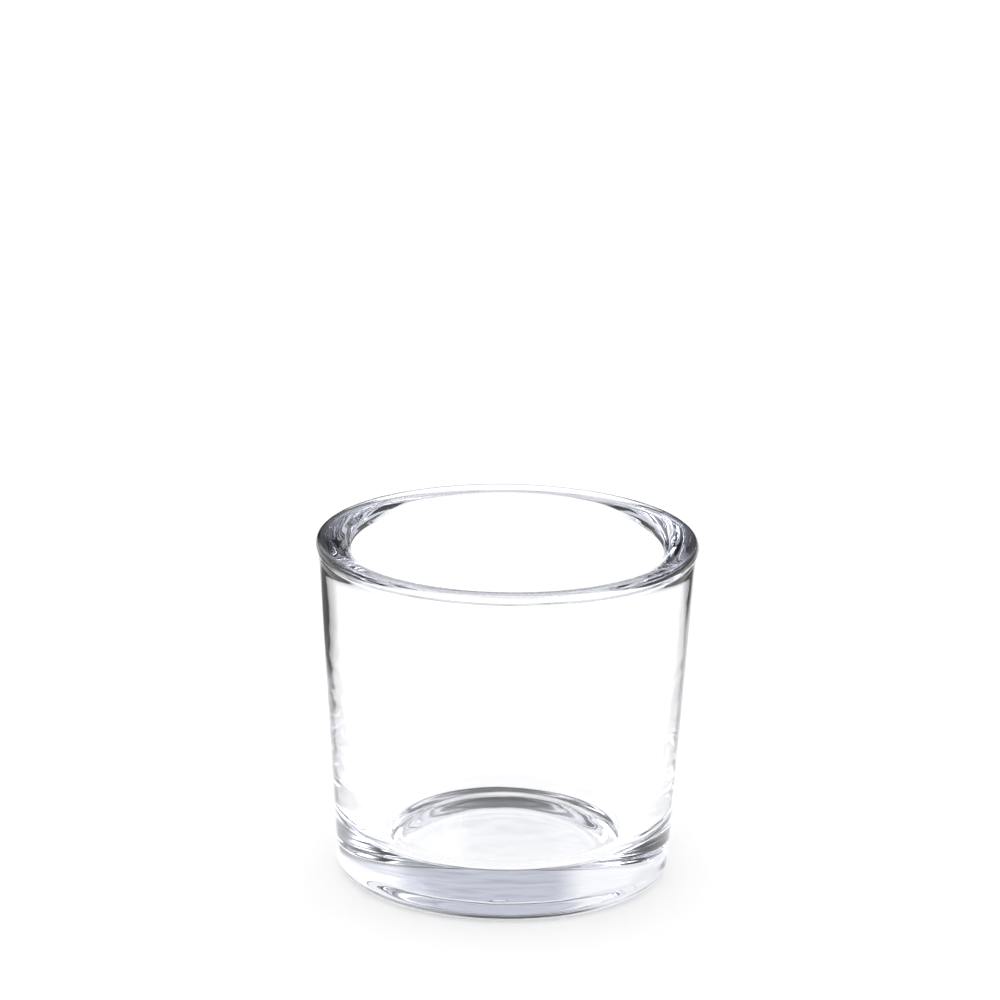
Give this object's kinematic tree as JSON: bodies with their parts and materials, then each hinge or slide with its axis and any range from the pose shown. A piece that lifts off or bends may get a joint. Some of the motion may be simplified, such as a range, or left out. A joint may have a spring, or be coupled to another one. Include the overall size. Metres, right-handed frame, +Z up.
{
  "type": "votive glass",
  "caption": "Thick-walled clear glass cup with a tapered wall, rolled rim and heavy base, holding a votive candle.",
  "frame": {"origin": "middle of the flat ring that the glass stands on", "axes": "+Z up along the axis that the glass is turned about; X and Y are alike"},
  "size_m": [0.075, 0.075, 0.0682],
  "materials": {
    "clear_glass": "fire-polished clear pressed glass with a faint lavender tint in the thick base"
  },
  "bodies": {
    "root": {"glass_cup": "clear_glass"}
  },
  "joints": []
}
